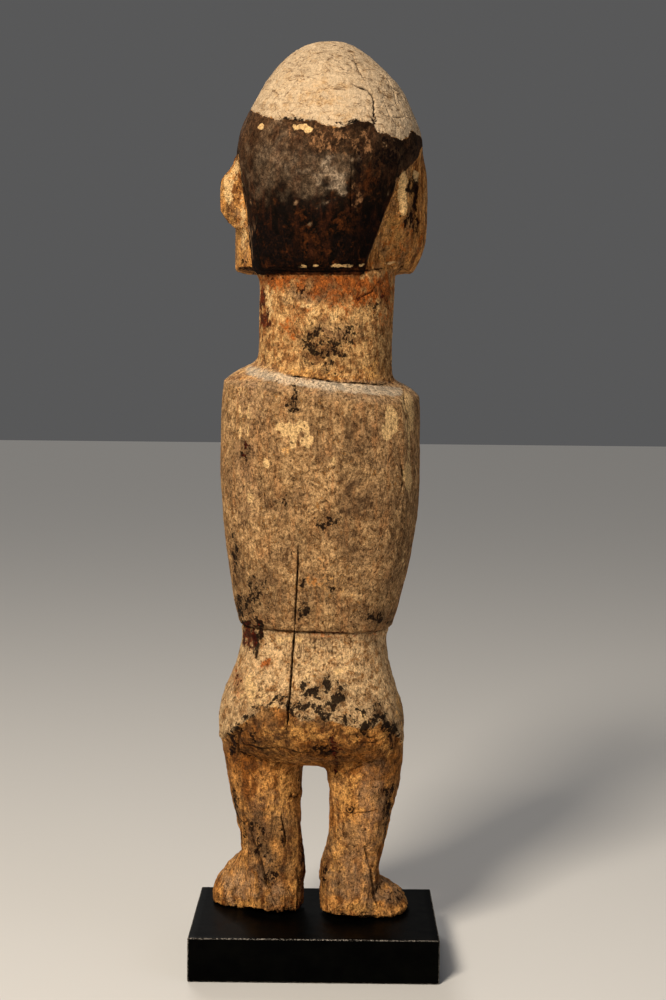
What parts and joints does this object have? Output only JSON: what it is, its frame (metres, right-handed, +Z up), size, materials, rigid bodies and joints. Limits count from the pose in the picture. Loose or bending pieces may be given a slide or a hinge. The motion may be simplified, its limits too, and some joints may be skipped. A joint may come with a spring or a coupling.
{
  "type": "carved wooden standing protective figure on a block base",
  "caption": "Carved wooden standing figure with a domed head, thick neck, armless barrel torso and splayed feet, on a black rectangular block base.",
  "frame": {"origin": "middle of the base block's underside", "axes": "+Z up; the figure looks towards -Y, turned 12 degrees on its block towards -X; the block's sides lie along X and Y"},
  "size_m": [0.123, 0.1017, 0.4613],
  "materials": {
    "weathered_wood": "old dry carved wood, pale clay on the dome and hips, dark brown on the back of the head, speckled grey-brown torso, golden brown legs, red-brown stains, drying cracks",
    "black_lacquer": "satin black lacquer with faintly worn edges"
  },
  "bodies": {
    "root": {"carved_figure": "weathered_wood", "base_block": "black_lacquer"}
  },
  "joints": []
}
